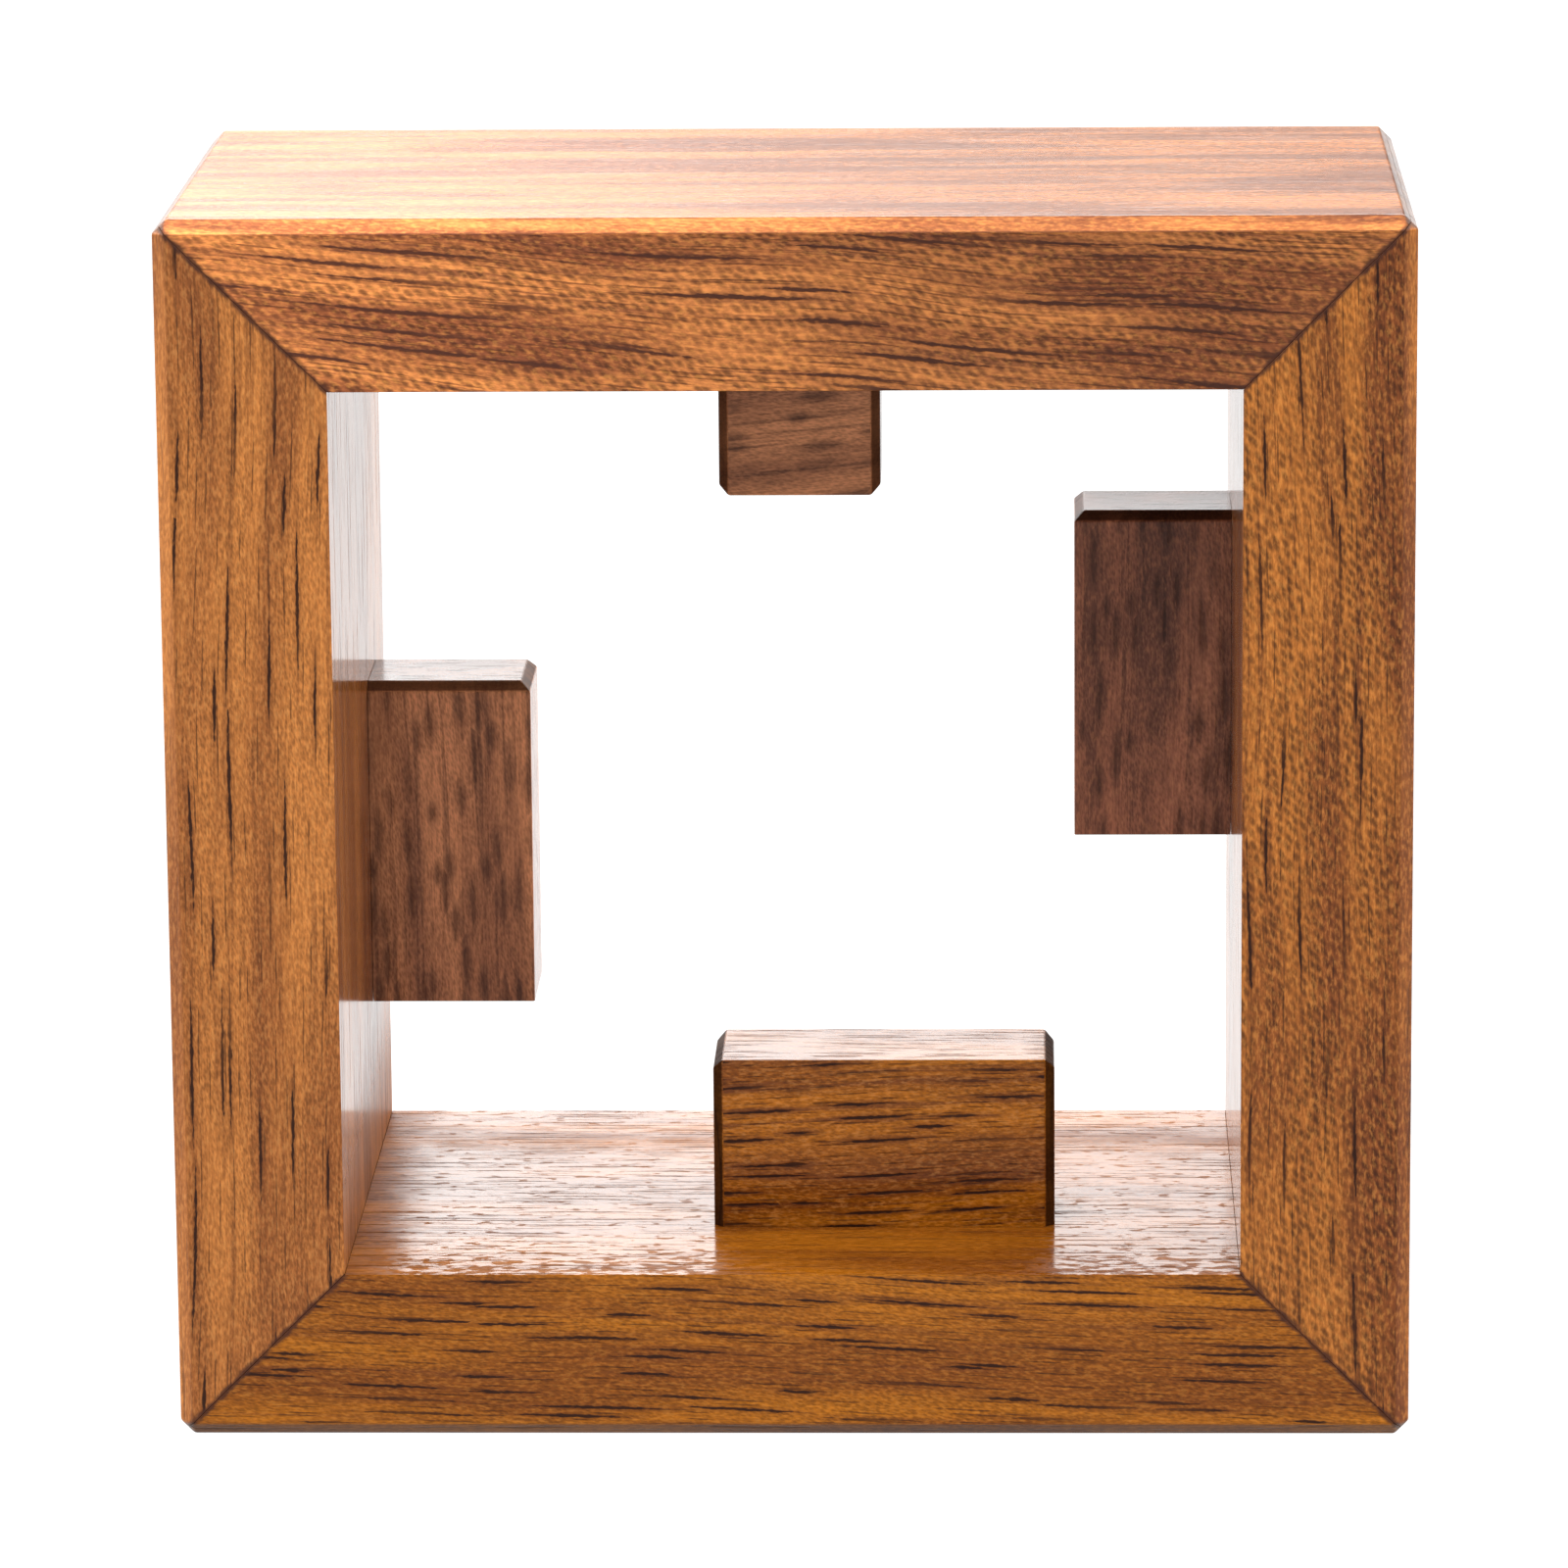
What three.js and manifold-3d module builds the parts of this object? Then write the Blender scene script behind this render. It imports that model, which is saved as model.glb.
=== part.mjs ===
// Open puzzle frame in hardwood: four mitred rails, four blocks glued inside them,
// and a blind spline hidden in each mitre joint.
//
// Millimetres, +Z up. The frame stands on z = 0, centred on x = 0 and y = 0, and its
// front is at -Y. The square opening runs right through it along Y.

import * as THREE from 'three';
import { mergeVertices } from 'three/addons/utils/BufferGeometryUtils.js';
import Module from 'manifold-3d';

// Driving dimensions
const FRAME_SIDE = 75;          // outer width and height
const FRAME_DEPTH = 39;         // front face to back face
const RAIL_THICKNESS = 10.3;    // outer face to inner face of every rail
const EDGE_CHAMFER = 0.85;      // flat facet at 45 degrees along every outer edge
const GLUE_LINE = 0.08;         // left between any two glued faces

const BLOCK_DEPTH = 7.85;       // all blocks, measured front to back
const BLOCK_CHAMFER = 0.6;      // around an end-grain face, apart from its glued edge

const SPLINE_THICKNESS = 2;
const SPLINE_WIDTH = 7;         // half of it sits in each rail
const SPLINE_LENGTH = 26;       // measured front to back
const SPLINE_FROM_INSIDE = 5.5; // inner corner of the frame to the spline's middle
const SPLINE_CLEARANCE = 0.3;   // groove wall to spline, on every side

// Derived places
const HALF_SIDE = FRAME_SIDE / 2;
const HALF_OPENING = HALF_SIDE - RAIL_THICKNESS;
const FRONT = -FRAME_DEPTH / 2;
const QUARTER_TURN = Math.PI / 2;

// The rails, by the number of quarter turns about Y that take the top one to each place.
const RAILS = {
  rail_top: { turns: 0, color: 0xa4622c },
  rail_right: { turns: 1, color: 0xa2602e },
  rail_bottom: { turns: 2, color: 0x9c5f26 },
  rail_left: { turns: 3, color: 0xa15f2a },
};

// The blocks. `turns` names the rail as above, `along` is the middle of the block along its
// rail, `setback` is the front of the frame to the front of the block, `length` runs with
// the grain, and `reach` is how far the block stands out from the rail's inner face. In the
// top rail's place, `along` grows to the right, and it turns with the rail. `squareEnd` is
// the sign of `along` at an end that has no chamfer: the lower end of both side blocks.
const BLOCKS = {
  block_top: {
    turns: 0, along: 0.2, setback: 23.4, length: 10.1, reach: 10.6, squareEnd: 0, color: 0x6f4330,
  },
  block_right: {
    turns: 1, along: -4.35, setback: 27.15, length: 20.8, reach: 9.8, squareEnd: 1, color: 0x633a2a,
  },
  block_bottom: {
    turns: 2, along: -5.45, setback: 10.75, length: 21.1, reach: 10.6, squareEnd: 0, color: 0x8a5328,
  },
  block_left: {
    turns: 3, along: -6.1, setback: 25.5, length: 20.7, reach: 10.2, squareEnd: -1, color: 0x74452c,
  },
};

// The splines, by the quarter turns that take the top left corner to each one.
const SPLINES = {
  spline_top_left: 0,
  spline_top_right: 1,
  spline_bottom_right: 2,
  spline_bottom_left: 3,
};
const SPLINE_COLOR = 0x8f6238;

const wasm = await Module();
wasm.setup();

// Turns a closed three.js geometry into a solid that can be cut and joined.
function solidFrom(geometry) {
  const bare = geometry.clone();
  bare.deleteAttribute('normal');
  bare.deleteAttribute('uv');
  const merged = mergeVertices(bare, 1e-4);
  return new wasm.Manifold(new wasm.Mesh({
    numProp: 3,
    vertProperties: new Float32Array(merged.attributes.position.array),
    triVerts: new Uint32Array(merged.index.array),
  }));
}

function geometryFrom(solid) {
  const mesh = solid.getMesh();
  const geometry = new THREE.BufferGeometry();
  geometry.setAttribute('position', new THREE.BufferAttribute(new Float32Array(mesh.vertProperties), 3));
  geometry.setIndex(new THREE.BufferAttribute(new Uint32Array(mesh.triVerts), 1));
  geometry.computeVertexNormals();
  return geometry;
}

function wood(color) {
  return new THREE.MeshStandardMaterial({ color, roughness: 0.35, metalness: 0 });
}

// A flat outline in X and Z, given as [x, z] points, made solid from front to back. With a
// chamfer, both ends are drawn in by it at 45 degrees, and the depth still counts it.
function prismAlongDepth(points, depth, chamfer = 0) {
  const outline = new THREE.Shape(points.map(([x, z]) => new THREE.Vector2(x, z)));
  const prism = new THREE.ExtrudeGeometry(outline, {
    depth: depth - 2 * chamfer,
    bevelEnabled: chamfer > 0,
    bevelSegments: 1,
    bevelThickness: chamfer,
    bevelSize: chamfer,
    bevelOffset: -chamfer,
  });
  prism.translate(0, 0, chamfer - depth / 2);
  prism.rotateX(QUARTER_TURN);
  return prism;
}

// The frame before it is opened: a block with a chamfer along all twelve edges.
function chamferedBlock() {
  const far = HALF_SIDE;
  const near = HALF_SIDE - EDGE_CHAMFER;
  const corners = [
    [near, far], [-near, far], [-far, near], [-far, -near],
    [-near, -far], [near, -far], [far, -near], [far, near],
  ];
  return prismAlongDepth(corners, FRAME_DEPTH, EDGE_CHAMFER);
}

// One corner's spline, or the groove for it when `clearance` is more than zero. It lies
// across the mitre plane of the top left corner, with the middle of the frame at 0, 0, 0.
function splineShape(clearance) {
  const shape = new THREE.BoxGeometry(
    SPLINE_WIDTH + 2 * clearance,
    SPLINE_LENGTH + 2 * clearance,
    SPLINE_THICKNESS + 2 * clearance,
  );
  const fromMiddle = HALF_OPENING * Math.SQRT2 + SPLINE_FROM_INSIDE;
  shape.translate(0, 0, fromMiddle);
  shape.rotateY(-QUARTER_TURN / 2);
  return shape;
}

// The top rail, with the middle of the frame at 0, 0, 0. It is a wedge of the chamfered
// block, between the two mitre planes, less the opening and the two spline grooves.
function railGeometry() {
  const past = HALF_SIDE + RAIL_THICKNESS;
  const apex = GLUE_LINE / Math.SQRT2;
  const wedge = prismAlongDepth([[0, apex], [past - apex, past], [apex - past, past]], 2 * FRAME_DEPTH);
  const opening = new THREE.BoxGeometry(2 * HALF_OPENING, 2 * FRAME_DEPTH, 2 * HALF_OPENING);
  const leftGroove = splineShape(SPLINE_CLEARANCE);
  const rightGroove = splineShape(SPLINE_CLEARANCE).rotateY(QUARTER_TURN);
  const rail = solidFrom(chamferedBlock())
    .intersect(solidFrom(wedge))
    .subtract(solidFrom(opening))
    .subtract(solidFrom(leftGroove))
    .subtract(solidFrom(rightGroove));
  return geometryFrom(rail);
}

// A block on the top rail. The stick is extruded along its grain with a one-step bevel at
// both ends that cuts into its section, which leaves the four long edges sharp. It is made
// too thick at the glued side, and too long at a square end, and then trimmed there.
function blockGeometry({ along, setback, length, reach, squareEnd }) {
  const spare = 2 * BLOCK_CHAMFER;
  const start = -length / 2 - (squareEnd < 0 ? spare : 0);
  const end = length / 2 + (squareEnd > 0 ? spare : 0);
  const section = new THREE.Shape([
    new THREE.Vector2(-spare, 0),
    new THREE.Vector2(reach, 0),
    new THREE.Vector2(reach, BLOCK_DEPTH),
    new THREE.Vector2(-spare, BLOCK_DEPTH),
  ]);
  const stick = new THREE.ExtrudeGeometry(section, {
    depth: end - start - 2 * BLOCK_CHAMFER,
    bevelEnabled: true,
    bevelSegments: 1,
    bevelThickness: BLOCK_CHAMFER,
    bevelSize: BLOCK_CHAMFER,
    bevelOffset: -BLOCK_CHAMFER,
  });
  stick.translate(0, 0, start + BLOCK_CHAMFER);
  stick.rotateY(QUARTER_TURN);

  // Above z = 0 is the rail. Past a chamfered end and round the other sides this cuts nothing.
  const keep = new THREE.BoxGeometry(length + 2 * spare, 4 * BLOCK_DEPTH, 4 * reach);
  keep.translate(-spare * squareEnd, 0, -2 * reach);
  const block = geometryFrom(solidFrom(stick).intersect(solidFrom(keep)));
  return block.translate(along, FRONT + setback, HALF_OPENING - GLUE_LINE);
}

function addPiece(parent, name, geometry, color, turns) {
  const piece = new THREE.Mesh(geometry, wood(color));
  piece.name = name;
  piece.rotation.y = turns * QUARTER_TURN;
  parent.add(piece);
}

const group = new THREE.Group();
const middle = new THREE.Group();
middle.position.z = HALF_SIDE;
group.add(middle);

for (const [name, { turns, color }] of Object.entries(RAILS)) {
  addPiece(middle, name, railGeometry(), color, turns);
}

for (const [name, block] of Object.entries(BLOCKS)) {
  addPiece(middle, name, blockGeometry(block), block.color, block.turns);
}

for (const [name, turns] of Object.entries(SPLINES)) {
  addPiece(middle, name, splineShape(0), SPLINE_COLOR, turns);
}

export default group;
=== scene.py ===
import math

import bmesh
import bpy
from mathutils import Matrix, Vector


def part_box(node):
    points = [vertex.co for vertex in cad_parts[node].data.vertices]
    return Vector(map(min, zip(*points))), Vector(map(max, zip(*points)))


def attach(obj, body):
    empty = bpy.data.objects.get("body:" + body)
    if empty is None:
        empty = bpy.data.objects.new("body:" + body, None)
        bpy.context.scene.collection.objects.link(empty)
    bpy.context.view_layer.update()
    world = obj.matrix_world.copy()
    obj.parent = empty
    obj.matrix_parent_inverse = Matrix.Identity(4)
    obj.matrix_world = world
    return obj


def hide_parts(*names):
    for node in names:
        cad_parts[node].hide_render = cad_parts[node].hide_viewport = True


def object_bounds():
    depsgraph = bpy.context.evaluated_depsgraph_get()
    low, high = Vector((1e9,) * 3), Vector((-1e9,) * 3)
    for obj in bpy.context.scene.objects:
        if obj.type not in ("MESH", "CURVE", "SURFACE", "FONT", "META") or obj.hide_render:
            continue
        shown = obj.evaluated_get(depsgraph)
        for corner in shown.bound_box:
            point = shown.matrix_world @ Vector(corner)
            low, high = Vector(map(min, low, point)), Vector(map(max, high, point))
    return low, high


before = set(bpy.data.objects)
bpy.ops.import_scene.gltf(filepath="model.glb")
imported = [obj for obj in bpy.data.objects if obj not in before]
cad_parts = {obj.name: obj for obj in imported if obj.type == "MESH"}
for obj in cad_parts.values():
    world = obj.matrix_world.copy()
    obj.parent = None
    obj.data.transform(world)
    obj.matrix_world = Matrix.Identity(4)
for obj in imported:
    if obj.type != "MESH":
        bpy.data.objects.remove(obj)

# Open puzzle frame in lacquered hardwood: four mitred rails with four blocks glued inside.
# Metres, in the same axes as the CAD solids: +Z up, -Y to the front, standing on z = 0.
# Materials work in millimetres, because all wood marks are of that size.

CAD_LOW, CAD_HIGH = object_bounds()
MM = 0.001

WIDTH = CAD_HIGH.x - CAD_LOW.x
RAIL_THICKNESS = CAD_HIGH.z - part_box("rail_top")[0].z
HALF_OPENING = WIDTH / 2 - RAIL_THICKNESS
MIDDLE = (CAD_LOW + CAD_HIGH) / 2

OUTER_CHAMFER = 0.85 * MM     # flat facet along the frame's outer edges
CHAMFER_EASE = 0.12 * MM      # where a facet meets a face
INNER_EASE = 0.18 * MM        # barely broken edges round the opening
MITRE_GAP = 0.02 * MM         # glue line between two rails
MITRE_EASE = 0.02 * MM        # arris along a mitre
GROOVE_CLEARANCE = 0.25 * MM  # spline to the wall of its groove
BLOCK_CHAMFER = 0.6 * MM      # round a block's end-grain faces, apart from the glued edge
BLOCK_EASE = 0.12 * MM        # every other free edge of a block
GLUE_FILM = 0.02 * MM         # left between a block and its rail
CAD_GLUE_GAP = 0.08 * MM      # the same place in the CAD solids
ROUND_STEPS = 2               # flat strips in an eased edge
INNER_ROUND_STEPS = 3         # and in one round the opening
ROUND_PROFILE = 0.5           # a circular round
SMOOTH_ANGLE = math.radians(40)  # edges that bend more than this are shaded as corners
TOUCHING = 0.001 * MM         # two points or heights closer than this are the same
ON_PLANE = 1e-8               # the same, for points on a cutting plane
FLAT_ANGLE = 0.01             # faces that bend less than this are one flat face

# Camera, fitted in widths of the frame, then scaled
CAMERA_PLACE = Vector((0.194, -6.741, 1.989)) * WIDTH
CAMERA_YAW = math.radians(1.74)
CAMERA_PITCH = math.radians(12.56)
CAMERA_ROLL = math.radians(-0.48)
CAMERA_LENS = 190.9
CAMERA_SENSOR = 36.0

# Wood, in millimetres. A cell is the size of one mark: along the grain, into the depth, across.
WANDER_CELL = (30, 12, 12)    # how far apart the grain's bends are
MOTTLE_CELL = (0.5, 0.17, 0.17)
FIBRE_CELL = (2.4, 0.1, 0.1)
FLECK_PATCH_CELL = (12, 3, 2.2)
VESSEL_EDGE_CELL = (0.7, 0.16, 1)
VESSEL_CLUSTER_CELL = (18, 5, 3)
RAGGED_CELL = (0.9, 0.9, 0.9)
BLOTCH_CELL = (3, 1.2, 3)
SPECK_CELL = (1.3, 0.6, 1.3)
TONE_FROM, TONE_TO = -36, 14  # x, where a tone that changes from left to right starts and ends
FACET_NORMAL = 0.707          # a 45-degree facet's normal, along both axes that it faces

# Matt places on the opening's floor and left wall, in millimetres
MATT_BAND_AT = 12.0           # y of the band's middle
MATT_BAND_FADE = (-2.0, 6.0)  # from its middle, where it starts and has ended
MATT_BAND = 0.6
BLOTCH_REACH = 12.0           # how far the blotches push an edge in and out
SPECKS_FADE = (-19.0, -11.0)  # y, where extra specks are most and where there are no more
EXTRA_SPECKS = 0.14
CORNER_FADE = (-27.0, -22.0)  # x, on the floor
FOOT_FADE = (9.0, 21.0)       # z, on the wall
CORNER_MATT = 0.8
MATT_ROUGHNESS = 0.4          # added where the finish is fully matt

# Tone on a mark, against 1 on plain wood
FLECK_TONE = (1.18, 0.35)     # between flecks and on them
FIBRE_TONE = (0.84, 1.16)     # in the dark and in the light fibres
CHAMFER_TONE = 0.4            # on an end's sawn chamfer
# painted shade: tone on downward edges and undersides
PAINTED_UNDERSIDE_SHADE = 0.3
GLINT_SHARE = 0.35

# Finish
SPECULAR_LEVEL = 0.14
UNEVEN_GLOSS = 0.08           # roughness from the dullest to the glossiest spot
CHAMFER_ROUGHNESS = 0.5       # added on a sawn chamfer
RELIEF_STRENGTH = 0.4
RELIEF_HEIGHT = 0.03 * MM

# Studio
FLOOR_SIZE = 60 * WIDTH
PAPER_CELL = 2 * MM

# Strength of the studio's light in each direction. Behind, it falls from left to right over
# these x, and changes over these z.
FALL = (-0.14, 0.06)
LOW_LIGHT = (0.7, 0.1)        # near the horizon, at the left and at the right
RISE = (0.15, 0.19)
HIGH_LIGHT = (3.6, 2.2)       # above that, at the left and at the right
SECOND_RISE = (0.21, 0.25)
ADDED_LIGHT = 2.2
OVERHEAD = (0.45, 0.8)
TAKEN_LIGHT = -3.4
FRONT_RISE = (0.35, 0.75)     # in front, low down to overhead
FRONT_LIGHT = (0.2, 3.4)
FRONT_TO_BEHIND = (-0.4, 0.3)  # y, where the light in front gives way to the light behind


# ---------------------------------------------------------------- shader nodes

class Graph:
    """Adds shader nodes to one node tree and links them as they are made."""

    def __init__(self, tree):
        self.nodes = tree.nodes
        self.links = tree.links

    def add(self, kind, **settings):
        node = self.nodes.new(kind)
        for name, value in settings.items():
            setattr(node, name, value)
        return node

    def feed(self, socket, value):
        if isinstance(value, bpy.types.NodeSocket):
            self.links.new(value, socket)
        else:
            socket.default_value = value

    def apply(self, kind, operation, *values):
        node = self.add(kind, operation=operation)
        for socket, value in zip(node.inputs, values):
            self.feed(socket, value)
        return node.outputs

    def math(self, operation, *values):
        return self.apply("ShaderNodeMath", operation, *values)[0]

    def vector(self, operation, *values):
        return self.apply("ShaderNodeVectorMath", operation, *values)[0]

    def combine(self, x, y, z):
        node = self.add("ShaderNodeCombineXYZ")
        for socket, value in zip(node.inputs, (x, y, z)):
            self.feed(socket, value)
        return node.outputs[0]

    def separate(self, vector):
        node = self.add("ShaderNodeSeparateXYZ")
        self.feed(node.inputs[0], vector)
        return node.outputs

    def cells(self, vector, sizes, seed=0.0):
        """The vector in cells of the given sizes, moved by a seed of its own."""
        node = self.add("ShaderNodeMapping")
        self.feed(node.inputs["Vector"], vector)
        node.inputs["Scale"].default_value = [1 / size for size in sizes]
        node.inputs["Location"].default_value = (seed, seed * 0.37, seed * 0.61)
        return node.outputs[0]

    def noise(self, vector, detail=2.0, roughness=0.5):
        node = self.add("ShaderNodeTexNoise")
        self.feed(node.inputs["Vector"], vector)
        node.inputs["Scale"].default_value = 1.0
        node.inputs["Detail"].default_value = detail
        node.inputs["Roughness"].default_value = roughness
        return node.outputs

    def spots(self, vector, randomness):
        """Scattered points in the vector's first two directions."""
        node = self.add("ShaderNodeTexVoronoi", voronoi_dimensions="2D")
        self.feed(node.inputs["Vector"], vector)
        node.inputs["Scale"].default_value = 1.0
        node.inputs["Randomness"].default_value = randomness
        return node.outputs

    def step(self, value, low, high, to_low=0.0, to_high=1.0):
        """A smooth step of value from low to high, given as to_low to to_high."""
        node = self.add("ShaderNodeMapRange", interpolation_type="SMOOTHSTEP")
        inputs = node.inputs
        self.feed(inputs["Value"], value)
        inputs["From Min"].default_value = low
        inputs["From Max"].default_value = high
        inputs["To Min"].default_value = to_low
        inputs["To Max"].default_value = to_high
        return node.outputs[0]

    def mix(self, factor, first, second, blend="MIX"):
        node = self.add("ShaderNodeMix", data_type="RGBA", blend_type=blend)
        self.feed(node.inputs["Factor"], factor)
        self.feed(node.inputs["A"], first)
        self.feed(node.inputs["B"], second)
        return node.outputs["Result"]

    def shade(self, tone, factor, at_zero, at_one):
        """The tone, multiplied by at_zero where factor is 0, by at_one where it is 1."""
        share = self.math("MULTIPLY_ADD", factor, at_one - at_zero, at_zero)
        return self.mix(1.0, tone, self.combine(share, share, share), blend="MULTIPLY")


def colour(red, green, blue):
    """A display colour from 0 to 255, as the linear colour that shaders use."""
    def linear(value):
        share = value / 255
        return share / 12.92 if share <= 0.04045 else ((share + 0.055) / 1.055) ** 2.4
    return linear(red), linear(green), linear(blue), 1.0


def new_material(name):
    material = bpy.data.materials.new(name)
    material.use_nodes = True
    material.node_tree.nodes.clear()
    return material


# ---------------------------------------------------------------- wood

def grain_place(graph, x, y, z, look):
    """Coordinates that follow the grain, in millimetres: along it, into the depth, across."""
    along, across = (x, z) if look["grain"] == "X" else (z, x)
    start = graph.combine(along, y, across)
    wander = graph.noise(graph.cells(start, WANDER_CELL, look["seed"]), 1.0, 0.4)["Color"]
    wander_across, wander_depth, _ = graph.separate(wander)
    tilt = graph.math("MULTIPLY", along, look["lean"])
    shift = graph.math("MULTIPLY_ADD", wander_across, look["flow"] * 2, tilt)
    across = graph.math("ADD", across, shift)
    depth = graph.math("MULTIPLY_ADD", wander_depth, look["flow"] * 2, y)
    return graph.combine(along, depth, across)


def lay_on_faces(graph, place, normal, look):
    """The place laid flat on its face: along the grain, and aside from it.

    Also returned are a share that is 1 on the front and back, and the size of the normal's
    part along the grain, which is 1 on a flat end-grain face.
    """
    along, depth, across = graph.separate(place)
    parts = graph.separate(normal)
    normal_x, normal_y, normal_z = (graph.math("ABSOLUTE", part) for part in parts)
    broadside = graph.step(normal_y, 0.75, 0.95)
    end_facing = normal_x if look["grain"] == "X" else normal_z
    end = graph.step(end_facing, 0.8, 0.9)
    aside = graph.math("MULTIPLY_ADD", broadside, graph.math("SUBTRACT", across, depth), depth)
    run = graph.math("MULTIPLY_ADD", end, graph.math("SUBTRACT", across, along), along)
    return graph.combine(run, aside, 0.0), broadside, end_facing


def ray_flecks(graph, laid, place, look):
    """Storied rays: short dark dashes in slanting rows, as a share from 0 to 1."""
    along, aside, _ = graph.separate(laid)
    slanted = graph.math("MULTIPLY_ADD", aside, 0.75, along)
    leaning = graph.math("MULTIPLY_ADD", along, 0.10, aside)
    rows = graph.combine(slanted, leaning, 0.0)
    cells = graph.cells(rows, (*look["fleck_size"], 1), look["seed"])
    distance = graph.spots(cells, look["fleck_scatter"])["Distance"]
    patches = graph.noise(graph.cells(place, FLECK_PATCH_CELL, look["seed"] + 2), 1, 0.5)["Fac"]
    share = graph.math("MULTIPLY", graph.step(distance, 0.12, 0.62, 1.0, 0.0),
                       graph.step(patches, 0.34, 0.58, 0.6, 1.0))
    return graph.math("MULTIPLY", share, look["flecks"])


def dashes(graph, laid, rough_edge, seed, spacing, half_length, half_width):
    """Scattered tapered dashes along the grain: 0 on a dash's axis, and 1 or more off it."""
    cells = graph.cells(laid, (*spacing, 1), seed)
    nearest = graph.spots(cells, 0.9)
    offset = graph.vector("SUBTRACT", cells, nearest["Position"])
    offset = graph.vector("MULTIPLY", offset, (*spacing, 1))
    along, aside, _ = graph.separate(offset)
    chance = graph.separate(nearest["Color"])[0]
    reach = graph.math("MULTIPLY_ADD", chance, half_length * 0.9, half_length * 0.4)
    run = graph.math("DIVIDE", along, reach)
    taper = graph.math("MULTIPLY_ADD", run, run, rough_edge)
    return graph.math("MULTIPLY_ADD", graph.math("ABSOLUTE", aside), 1 / half_width, taper)


def vessels(graph, laid, place, look):
    """Dark vessel lines and the softer stain round them, both as shares from 0 to 1."""
    length = look["vessel_length"]
    gap = look["vessel_gap"]
    rough = graph.noise(graph.cells(laid, VESSEL_EDGE_CELL, look["seed"]), 2, 0.6)["Fac"]
    rough_edge = graph.math("MULTIPLY_ADD", rough, 2.2, -1.1)
    width = look["vessel_width"]
    thick = dashes(graph, laid, rough_edge, look["seed"] + 9,
                   spacing=(1.6 * length, gap), half_length=length * 0.55, half_width=width)
    thin = dashes(graph, laid, rough_edge, look["seed"] + 4,
                  spacing=(length, gap * 0.45), half_length=length * 0.33, half_width=width * 0.5)
    clusters = graph.noise(graph.cells(place, VESSEL_CLUSTER_CELL, look["seed"] + 6), 1, 0.5)["Fac"]
    strong = graph.step(clusters, 0.30, 0.50, 0.25, 1.0)
    thick_line = graph.math("MULTIPLY", graph.step(thick, 0.5, 1.1, 1.0, 0.0), strong)
    thin_line = graph.step(thin, 0.4, 1.0, 0.65, 0.0)
    stain = graph.math("MULTIPLY", graph.step(thick, 0.6, 3.6, 1.0, 0.0), strong)
    line = graph.math("MULTIPLY", graph.math("MAXIMUM", thick_line, thin_line), look["vessels"])
    return line, graph.math("MULTIPLY", stain, look["stain"])


def mitre_seam(graph, x, z, place):
    """Dark glue line along the frame's mitres, uneven, as a share from 0 to 1."""
    height = graph.math("SUBTRACT", z, MIDDLE.z / MM)
    apart = graph.math("SUBTRACT", graph.math("ABSOLUTE", x), graph.math("ABSOLUTE", height))
    apart = graph.math("ABSOLUTE", apart)
    ragged = graph.noise(graph.cells(place, RAGGED_CELL, 5.0), 3, 0.6)["Fac"]
    apart = graph.math("SUBTRACT", apart, graph.math("MULTIPLY", ragged, 0.8))
    return graph.step(apart, -0.35, 0.05, 0.9, 0.0)


def facet(graph, normal_part, at_facet=1.0):
    """at_facet where the size of the normal's part says 45 degrees, and 0 away from there."""
    past_facet = graph.math("ABSOLUTE", graph.math("SUBTRACT", normal_part, FACET_NORMAL))
    return graph.step(past_facet, 0.05, 0.2, at_facet, 0.0)


def worn_facet(graph, normal_y, normal_z):
    """How far a facet along the frame's front and back edges gets painted light: only along the
    top, where the facets face up to the light.
    """
    edge = facet(graph, graph.math("ABSOLUTE", normal_y))
    return graph.math("MULTIPLY", edge, graph.step(normal_z, 0.0, 0.7))


def matt_places(graph, scaled, normal, seed):
    """Where the opening's floor and left wall are matt, as a share from 0 to 1.

    The floor has a blotchy band far back, specks near its front edge and a matt left end,
    and the wall has a matt foot.
    """
    x, y, z = graph.separate(scaled)
    normal_x, _, normal_z = graph.separate(normal)
    blotches = graph.noise(graph.cells(scaled, BLOTCH_CELL, seed + 8), 3, 0.6)["Fac"]
    uneven = graph.math("MULTIPLY_ADD", blotches, BLOTCH_REACH, -BLOTCH_REACH / 2)
    apart = graph.math("ABSOLUTE", graph.math("SUBTRACT", y, MATT_BAND_AT))
    band = graph.step(graph.math("ADD", apart, uneven), *MATT_BAND_FADE, MATT_BAND, 0.0)
    specks = graph.noise(graph.cells(scaled, SPECK_CELL, seed + 13), 2, 0.6)["Fac"]
    specks = graph.math("ADD", specks, graph.step(y, *SPECKS_FADE, EXTRA_SPECKS, 0.0))
    specks = graph.step(specks, 0.58, 0.68)
    ragged_x = graph.math("MULTIPLY_ADD", uneven, 0.4, x)
    corner = graph.step(ragged_x, *CORNER_FADE, CORNER_MATT, 0.0)
    floor = graph.math("MAXIMUM", graph.math("MAXIMUM", band, specks), corner)
    floor = graph.math("MULTIPLY", floor, graph.step(normal_z, 0.8, 0.9))
    foot = graph.step(z, *FOOT_FADE, CORNER_MATT, 0.0)
    foot = graph.math("MULTIPLY", foot, graph.step(normal_x, 0.8, 0.9))
    return graph.math("MAXIMUM", floor, foot)


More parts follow.
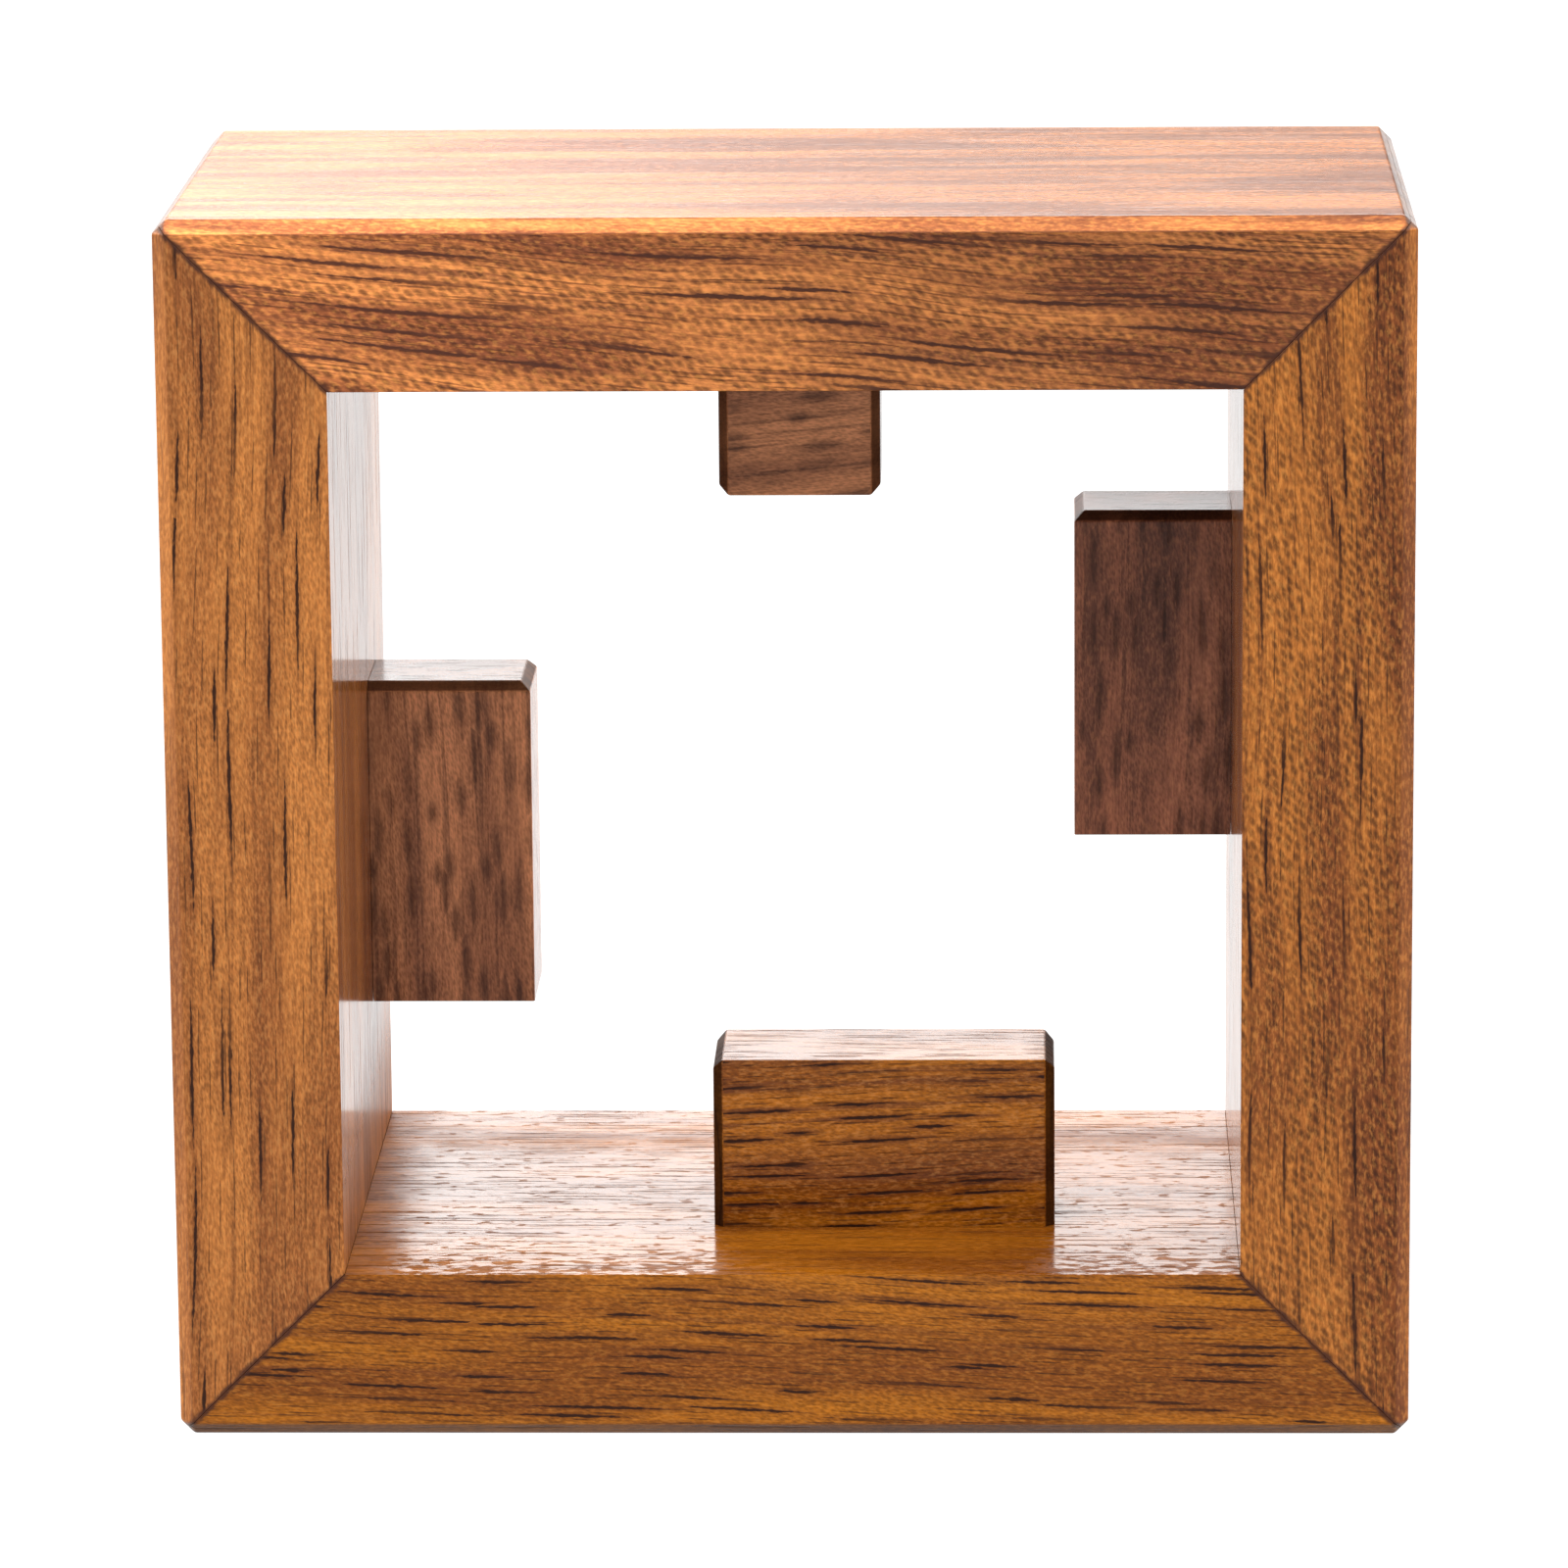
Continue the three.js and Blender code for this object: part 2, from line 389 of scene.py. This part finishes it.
def wood(name, seam=False, matt=False, **changes):
    """Lacquered hardwood with its grain along X or Z, from what one piece changes in PLAIN_LOOK.

    A seam is the dark glue line along the frame's mitres, and matt adds the matt places.
    """
    look = {**PLAIN_LOOK, **changes}
    seed = look["seed"]
    material = new_material(name)
    graph = Graph(material.node_tree)
    coordinates = graph.add("ShaderNodeTexCoord").outputs
    scaled = graph.vector("MULTIPLY", coordinates["Object"], (1 / MM, 1 / MM, 1 / MM))
    normal = coordinates["Normal"]
    x, y, z = graph.separate(scaled)
    _, normal_y, normal_z = graph.separate(normal)
    place = grain_place(graph, x, y, z, look)
    laid, broadside, end_facing = lay_on_faces(graph, place, normal, look)

    broad = graph.noise(graph.cells(place, look["patch_size"], seed + 3), 2, 0.5)["Fac"]
    figure = graph.noise(graph.cells(place, look["band_size"], seed + 7), 3, 0.6)["Fac"]
    mottle = graph.noise(graph.cells(place, MOTTLE_CELL, seed + 1), 2, 0.6)["Fac"]
    fibre = graph.noise(graph.cells(place, FIBRE_CELL, seed + 5), 2, 0.6)["Fac"]

    # The figure is strong on the front and back, and calm on the faces at right angles to them.
    figured = graph.math("MULTIPLY_ADD", broadside, 0.6, 0.4)
    tone = graph.mix(graph.step(broad, 0.36, 0.64), look["light"], look["deep"])
    bands = graph.step(figure, look["band_from"], look["band_from"] + 0.12, 0.0, look["bands"])
    tone = graph.mix(graph.math("MULTIPLY", bands, figured), tone, look["band"])
    fleck = graph.math("MULTIPLY", ray_flecks(graph, laid, place, look), figured)
    tone = graph.shade(tone, fleck, *FLECK_TONE)
    tone = graph.shade(tone, graph.step(fibre, 0.3, 0.7), *FIBRE_TONE)
    dim, bright = 1 - look["mottle"], 1 + look["mottle"] * 0.6
    tone = graph.shade(tone, graph.step(mottle, 0.3, 0.7), dim, bright)
    tone = graph.mix(graph.step(mottle, 0.45, 0.75, 0.0, GLINT_SHARE), tone, look["glint"])
    line, stain = vessels(graph, laid, place, look)
    tone = graph.mix(graph.math("MULTIPLY", stain, figured), tone, look["band"])
    tone = graph.mix(graph.math("MULTIPLY", line, figured), tone, look["line"])
    tone = graph.shade(tone, graph.step(x, TONE_FROM, TONE_TO), *look["left_to_right"])
    if seam:
        frontal = graph.step(graph.math("ABSOLUTE", normal_y), 0.3, 0.6)
        glue = graph.math("MULTIPLY", mitre_seam(graph, x, z, scaled), frontal)
        tone = graph.mix(glue, tone, BARK)

    # End grain drinks more finish, so it is darker, and most of all on a sawn chamfer.
    # Downward edges and undersides get painted shade, dark as if in their own shadow.
    tone = graph.shade(tone, graph.step(end_facing, 0.4, 0.75), 1.0, look["end_grain"])
    chamfer = facet(graph, end_facing, look["sawn_chamfer"])
    tone = graph.shade(tone, chamfer, 1.0, CHAMFER_TONE)
    # Painted light: the upward facets along the top are made lighter, for the light that falls on
    # them.
    tone = graph.shade(tone, worn_facet(graph, normal_y, normal_z), 1.0, look["worn"])
    tone = graph.shade(tone, graph.step(normal_z, -0.8, -0.4), PAINTED_UNDERSIDE_SHADE, 1.0)

    shader = graph.add("ShaderNodeBsdfPrincipled")
    graph.feed(shader.inputs["Base Color"], tone)
    glossiest = look["gloss"] - UNEVEN_GLOSS / 2
    rough = graph.math("MULTIPLY_ADD", mottle, UNEVEN_GLOSS, glossiest)
    rough = graph.math("MULTIPLY_ADD", line, look["pores"], rough)
    rough = graph.math("MULTIPLY_ADD", chamfer, CHAMFER_ROUGHNESS, rough)
    if matt:
        places = matt_places(graph, scaled, normal, seed)
        rough = graph.math("MULTIPLY_ADD", places, MATT_ROUGHNESS, rough)
    graph.feed(shader.inputs["Roughness"], rough)
    shader.inputs["Specular IOR Level"].default_value = SPECULAR_LEVEL

    relief = graph.math("MULTIPLY_ADD", line, -1.0, graph.math("MULTIPLY", fibre, 0.22))
    relief = graph.math("MULTIPLY_ADD", fleck, -0.12, relief)
    bump = graph.add("ShaderNodeBump")
    bump.inputs["Strength"].default_value = RELIEF_STRENGTH
    bump.inputs["Distance"].default_value = RELIEF_HEIGHT
    graph.feed(bump.inputs["Height"], relief)
    graph.feed(shader.inputs["Normal"], bump.outputs[0])
    output = graph.add("ShaderNodeOutputMaterial")
    graph.feed(output.inputs["Surface"], shader.outputs[0])
    return material


# ---------------------------------------------------------------- meshes

def mesh_object(name, bm):
    """Turns the bmesh into an object with smooth rounds and sharp corners."""
    bm.normal_update()
    for face in bm.faces:
        face.smooth = True
    for edge in bm.edges:
        edge.smooth = edge.calc_face_angle(0.0) < SMOOTH_ANGLE
    mesh = bpy.data.meshes.new(name)
    bm.to_mesh(mesh)
    bm.free()
    piece = bpy.data.objects.new(name, mesh)
    bpy.context.scene.collection.objects.link(piece)
    return piece


def box_mesh(low, high):
    """A plain box between two opposite corners."""
    bm = bmesh.new()
    bmesh.ops.create_cube(bm, size=1.0)
    size = high - low
    for vertex in bm.verts:
        vertex.co = low + Vector((vertex.co[axis] + 0.5) * size[axis] for axis in range(3))
    return bm


def cut_facet(bm, edges, size):
    """Cuts the edges back by size, to a flat facet."""
    bmesh.ops.bevel(bm, geom=edges, offset=size, segments=1, affect="EDGES")


def ease(bm, edges, size, steps):
    """Cuts the edges back by size, to a round of several steps."""
    bmesh.ops.bevel(bm, geom=edges, offset=size, segments=steps, profile=ROUND_PROFILE,
                    affect="EDGES")


def slice_off(bm, point, normal):
    """Cuts away what lies beyond the plane, on the side its normal points to.

    The cut is closed with one face, which is returned.
    """
    geometry = bm.verts[:] + bm.edges[:] + bm.faces[:]
    cut = bmesh.ops.bisect_plane(bm, geom=geometry, plane_co=point, plane_no=normal,
                                 clear_outer=True, dist=ON_PLANE)
    rim = [item for item in cut["geom_cut"] if isinstance(item, bmesh.types.BMEdge)]
    return bmesh.ops.contextual_create(bm, geom=rim)["faces"][0]


def on_front_or_back(edge):
    """Whether the whole edge lies in the frame's front or back face."""
    start, end = (vertex.co.y for vertex in edge.verts)
    return abs(start - end) < TOUCHING and min(start - CAD_LOW.y, CAD_HIGH.y - start) < TOUCHING


def rail_mesh(direction):
    """One rail: the chamfered outer block, cut to the opening's wall and both mitre planes."""
    bm = box_mesh(CAD_LOW, CAD_HIGH)
    cut_facet(bm, bm.edges[:], OUTER_CHAMFER)
    ease(bm, bm.edges[:], CHAMFER_EASE, ROUND_STEPS)
    wall = slice_off(bm, MIDDLE + direction * HALF_OPENING, -direction)
    rims = [edge for edge in wall.edges if on_front_or_back(edge)]
    ease(bm, rims, INNER_EASE, INNER_ROUND_STEPS)
    for turn in (math.pi / 4, -math.pi / 4):
        mitre = Matrix.Rotation(turn, 3, "Y") @ direction
        normal = mitre.cross(Vector((0, 1, 0)))
        if normal.dot(direction) > 0:
            normal.negate()
        face = slice_off(bm, MIDDLE - normal * (MITRE_GAP / 2), normal)
        cut_facet(bm, list(face.edges), MITRE_EASE)
    bmesh.ops.recalc_face_normals(bm, faces=bm.faces[:])
    return bm


def groove_cutter(spline):
    """The spline's own box, grown on every side, to cut its groove."""
    bm = bmesh.new()
    bm.from_mesh(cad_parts[spline].data)
    bmesh.ops.remove_doubles(bm, verts=bm.verts[:], dist=TOUCHING)
    bmesh.ops.dissolve_limit(bm, angle_limit=FLAT_ANGLE, verts=bm.verts[:], edges=bm.edges[:])
    bm.normal_update()
    for vertex in bm.verts:
        outwards = sum((face.normal for face in vertex.link_faces), Vector())
        vertex.co += outwards * GROOVE_CLEARANCE
    return mesh_object(spline + "_cutter", bm)


def cut_grooves(piece, splines):
    """Cuts the stopped groove for each spline into the piece, and leaves a plain mesh."""
    cutters = [groove_cutter(spline) for spline in splines]
    for cutter in cutters:
        cut = piece.modifiers.new("groove", "BOOLEAN")
        cut.operation = "DIFFERENCE"
        cut.solver = "EXACT"
        cut.object = cutter
    evaluated = piece.evaluated_get(bpy.context.evaluated_depsgraph_get())
    mesh = bpy.data.meshes.new_from_object(evaluated)
    piece.modifiers.clear()
    mesh.name = piece.name
    piece.data = mesh
    for cutter in cutters:
        bpy.data.objects.remove(cutter)


def block_mesh(node, grain_axis, to_rail, square_end):
    """A block with chamfered end-grain faces, and a plain cut at its rail.

    A square end is the lower one, and has a plain cut too. The box is made longer at the
    sides with a plain cut, so that the chamfers there are cut away.
    """
    low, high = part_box(node)
    foot = max(high.dot(to_rail), low.dot(to_rail)) + CAD_GLUE_GAP - GLUE_FILM
    spare = [2 * BLOCK_CHAMFER * side for side in to_rail]
    if square_end:
        spare[grain_axis] = -2 * BLOCK_CHAMFER
    for axis, reach in enumerate(spare):
        if reach > 0:
            high[axis] += reach
        else:
            low[axis] += reach
    bm = box_mesh(low, high)
    bm.normal_update()
    ends = [edge for edge in bm.edges
            if abs(edge.verts[0].co[grain_axis] - edge.verts[1].co[grain_axis]) < TOUCHING]
    cut_facet(bm, ends, BLOCK_CHAMFER)
    ease(bm, bm.edges[:], BLOCK_EASE, ROUND_STEPS)
    if square_end:
        downwards = Vector((0, 0, -1))
        face = slice_off(bm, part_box(node)[0], downwards)
        cut_facet(bm, list(face.edges), MITRE_EASE)
    slice_off(bm, to_rail * foot, to_rail)
    bmesh.ops.recalc_face_normals(bm, faces=bm.faces[:])
    return bm


def even_shading(piece):
    """Keeps flat faces flat beside their rounds."""
    weighted = piece.modifiers.new("flat faces", "WEIGHTED_NORMAL")
    weighted.keep_sharp = True


# ---------------------------------------------------------------- the object

AMBER = colour(174, 107, 50)
RUSSET = colour(136, 78, 36)
COPPER = colour(162, 96, 38)
CHESTNUT = colour(114, 60, 26)
HONEY = colour(186, 114, 60)
SIENNA = colour(126, 69, 38)
OCHRE = colour(158, 92, 16)
TAWNY = colour(120, 64, 14)
SAND = colour(186, 132, 74)
BRASS = colour(174, 116, 48)
GOLD = colour(204, 138, 66)
UMBER = colour(92, 46, 20)
PLUM = colour(92, 48, 34)
WALNUT = colour(194, 130, 88)
COCOA = colour(144, 92, 62)
MOCHA = colour(164, 104, 76)
COFFEE = colour(114, 70, 52)
TAN = colour(186, 126, 84)
BARK = colour(62, 32, 22)
INK = colour(36, 14, 6)
STRAW = colour(190, 150, 100)
CORK = colour(160, 120, 76)
RIND = colour(110, 76, 44)
PAPER_SHADE = colour(84, 84, 84)
PAPER_LIGHT = colour(92, 92, 92)
WHITE = (1, 1, 1, 1)

# What a piece of wood looks like, unless it says otherwise. Sizes are in millimetres.
PLAIN_LOOK = dict(
    grain="X",                    # the axis that the grain runs along
    seed=0.0,                     # which part of the endless wood the piece is cut from
    lean=0.0,                     # tilt of the grain across the piece
    flow=1.2,                     # how far the grain wanders
    light=AMBER,                  # two colours that change over broad patches
    deep=RUSSET,
    patch_size=(32, 3.2, 3.2),
    band=UMBER,                   # dark figure, and the stain round the vessel lines
    band_size=(26, 2.0, 0.6),
    band_from=0.54,
    bands=0.4,
    glint=SAND,                   # small light spots
    mottle=0.24,
    flecks=0.45,                  # ray flecks, and how far from straight rows they are
    fleck_size=(0.38, 0.17),
    fleck_scatter=1.0,
    line=INK,                     # dark vessel lines
    vessels=0.95,
    vessel_length=6.0,
    vessel_gap=1.3,
    vessel_width=0.12,
    stain=0.35,
    gloss=0.14,                   # roughness of the finish, and what an open pore adds to it
    pores=0.35,
    end_grain=0.45,               # tone on end grain, against 1 elsewhere
    sawn_chamfer=0.0,             # how strongly an end's chamfer is darker still
    worn=1.0,                     # painted light: tone on the upward facets along the top
    left_to_right=(1.0, 1.0),     # tone at the left and at the right
)

# Ray flecks in clear rows
STORIED = dict(flecks=0.85, fleck_scatter=0.55, fleck_size=(0.68, 0.5), glint=GOLD)

RAILS = {
    "rail_top": dict(direction=Vector((0, 0, 1)), grain="X", seed=3.0, lean=0.07, flow=2.0,
                     light=HONEY, deep=SIENNA, band=PLUM, line=BARK, band_size=(24, 2.0, 0.35),
                     bands=0.6, pores=0.1, left_to_right=(1.5, 0.87), vessel_length=11.0,
                     vessel_gap=0.9, vessel_width=0.14, **STORIED),
    "rail_right": dict(direction=Vector((1, 0, 0)), grain="Z", seed=11.0, lean=0.02,
                       light=COPPER, deep=CHESTNUT, band_size=(28, 2.0, 0.45), bands=0.6,
                       vessel_length=7.0, vessel_gap=2.0, **STORIED),
    "rail_bottom": dict(direction=Vector((0, 0, -1)), grain="X", seed=23.0, lean=0.045, flow=0.9,
                        light=OCHRE, deep=TAWNY, glint=BRASS, vessel_length=6.5,
                        vessel_gap=0.95, matt=True),
    "rail_left": dict(direction=Vector((-1, 0, 0)), grain="Z", seed=31.0, lean=-0.02, flow=0.9,
                      vessel_length=9.0, vessel_gap=1.7, matt=True),
}

# The three blocks far back, in darker wood
DARK_BLOCK = dict(band=BARK, glint=TAN, bands=0.5, vessels=0.35, vessel_length=2.6, vessel_gap=1.5,
                  vessel_width=0.18, stain=0.5, mottle=0.16, sawn_chamfer=0.6)

BLOCKS = {
    "block_top": dict(to_rail=Vector((0, 0, 1)), grain="X", seed=41.0, lean=-0.12,
                      light=WALNUT, deep=COCOA, **DARK_BLOCK),
    "block_right": dict(to_rail=Vector((1, 0, 0)), grain="Z", seed=47.0,
                        light=MOCHA, deep=COFFEE, **DARK_BLOCK),
    "block_bottom": dict(to_rail=Vector((0, 0, -1)), grain="X", seed=53.0, lean=-0.05, light=OCHRE,
                         deep=TAWNY, bands=0.6, vessel_length=4.5, vessel_gap=0.9, stain=0.6,
                         sawn_chamfer=1.0),
    "block_left": dict(to_rail=Vector((-1, 0, 0)), grain="Z", seed=61.0,
                       light=WALNUT, deep=COCOA, **DARK_BLOCK),
}


def add_rail(node, direction, **look):
    piece = mesh_object(node + "_wood", rail_mesh(direction))
    side = node.split("_")[1]
    splines = [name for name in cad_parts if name.startswith("spline") and side in name]
    cut_grooves(piece, splines)
    even_shading(piece)
    piece.data.materials.clear()
    # The rails' upward facets along the top get painted light, 1.9 times the tone.
    piece.data.materials.append(wood(node + "_finish", seam=True, worn=1.9, **look))
    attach(piece, "root")
    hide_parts(node)


def add_block(node, to_rail, **look):
    upright = look["grain"] == "Z"
    grain_axis = 2 if upright else 0
    block = block_mesh(node, grain_axis, to_rail, square_end=upright)
    piece = mesh_object(node + "_wood", block)
    even_shading(piece)
    piece.data.materials.append(wood(node + "_finish", **look))
    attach(piece, "root")
    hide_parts(node)


def finish_splines():
    """The hidden splines keep their CAD shape and get bare wood."""
    bare = wood("spline_finish", grain="Z", seed=71.0, light=STRAW, deep=CORK, band=RIND,
                bands=0.3, flecks=0.1, vessels=0.3, gloss=0.6)
    for name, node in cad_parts.items():
        if name.startswith("spline"):
            node.data.materials.clear()
            node.data.materials.append(bare)


# ---------------------------------------------------------------- studio

def add_floor():
    """A plain pale table top, far larger than the object."""
    bm = bmesh.new()
    bmesh.ops.create_grid(bm, x_segments=1, y_segments=1, size=FLOOR_SIZE)
    mesh = bpy.data.meshes.new("floor")
    bm.to_mesh(mesh)
    bm.free()
    floor = bpy.data.objects.new("floor", mesh)
    bpy.context.scene.collection.objects.link(floor)
    material = new_material("floor_paper")
    graph = Graph(material.node_tree)
    shader = graph.add("ShaderNodeBsdfPrincipled")
    place = graph.add("ShaderNodeTexCoord").outputs["Object"]
    tooth = graph.noise(graph.cells(place, (PAPER_CELL, PAPER_CELL, PAPER_CELL)), 2)["Fac"]
    graph.feed(shader.inputs["Base Color"], graph.mix(tooth, PAPER_SHADE, PAPER_LIGHT))
    shader.inputs["Roughness"].default_value = 0.9
    shader.inputs["Specular IOR Level"].default_value = 0.1
    shader.inputs["Emission Color"].default_value = WHITE
    shader.inputs["Emission Strength"].default_value = 1.0
    output = graph.add("ShaderNodeOutputMaterial")
    graph.feed(output.inputs["Surface"], shader.outputs[0])
    mesh.materials.append(material)


def add_world():
    """White studio light that differs by direction.

    Behind the object it is dim near the horizon, bright higher up, most of all at the left,
    and less so overhead. In front it is dim low down and bright overhead.
    """
    world = bpy.data.worlds.new("studio")
    bpy.context.scene.world = world
    world.use_nodes = True
    graph = Graph(world.node_tree)
    background = world.node_tree.nodes["Background"]
    direction = graph.add("ShaderNodeTexCoord").outputs["Generated"]
    x, y, z = graph.separate(direction)
    low = graph.step(x, *FALL, *LOW_LIGHT)
    high = graph.step(x, *FALL, *HIGH_LIGHT)
    rise = graph.math("SUBTRACT", high, low)
    behind = graph.math("MULTIPLY_ADD", graph.step(z, *RISE), rise, low)
    behind = graph.math("ADD", behind, graph.step(z, *SECOND_RISE, 0.0, ADDED_LIGHT))
    behind = graph.math("ADD", behind, graph.step(z, *OVERHEAD, 0.0, TAKEN_LIGHT))
    front = graph.step(z, *FRONT_RISE, *FRONT_LIGHT)
    is_behind = graph.step(y, *FRONT_TO_BEHIND)
    ahead = graph.math("MULTIPLY", front, graph.math("SUBTRACT", 1.0, is_behind))
    strength = graph.math("MULTIPLY_ADD", behind, is_behind, ahead)
    background.inputs["Color"].default_value = WHITE
    graph.feed(background.inputs["Strength"], strength)


def add_camera():
    """A long lens, turned by yaw, then pitched down, then rolled."""
    cos_yaw, sin_yaw = math.cos(CAMERA_YAW), math.sin(CAMERA_YAW)
    cos_pitch, sin_pitch = math.cos(CAMERA_PITCH), math.sin(CAMERA_PITCH)
    forward = Vector((-sin_yaw * cos_pitch, cos_yaw * cos_pitch, -sin_pitch))
    right = Vector((cos_yaw, sin_yaw, 0))
    up = right.cross(forward)
    turn = Matrix.Rotation(CAMERA_ROLL, 4, "Z")
    axes = Matrix((right, up, -forward)).transposed().to_4x4()
    data = bpy.data.cameras.new("camera")
    data.lens = CAMERA_LENS
    data.sensor_width = CAMERA_SENSOR
    camera = bpy.data.objects.new("camera", data)
    camera.matrix_world = Matrix.Translation(CAMERA_PLACE) @ axes @ turn
    bpy.context.scene.collection.objects.link(camera)
    bpy.context.scene.camera = camera


add_camera()
add_world()
add_floor()

for node, spec in RAILS.items():
    add_rail(node, **spec)
for node, spec in BLOCKS.items():
    add_block(node, **spec)
finish_splines()

bpy.context.scene.view_settings.view_transform = "Standard"
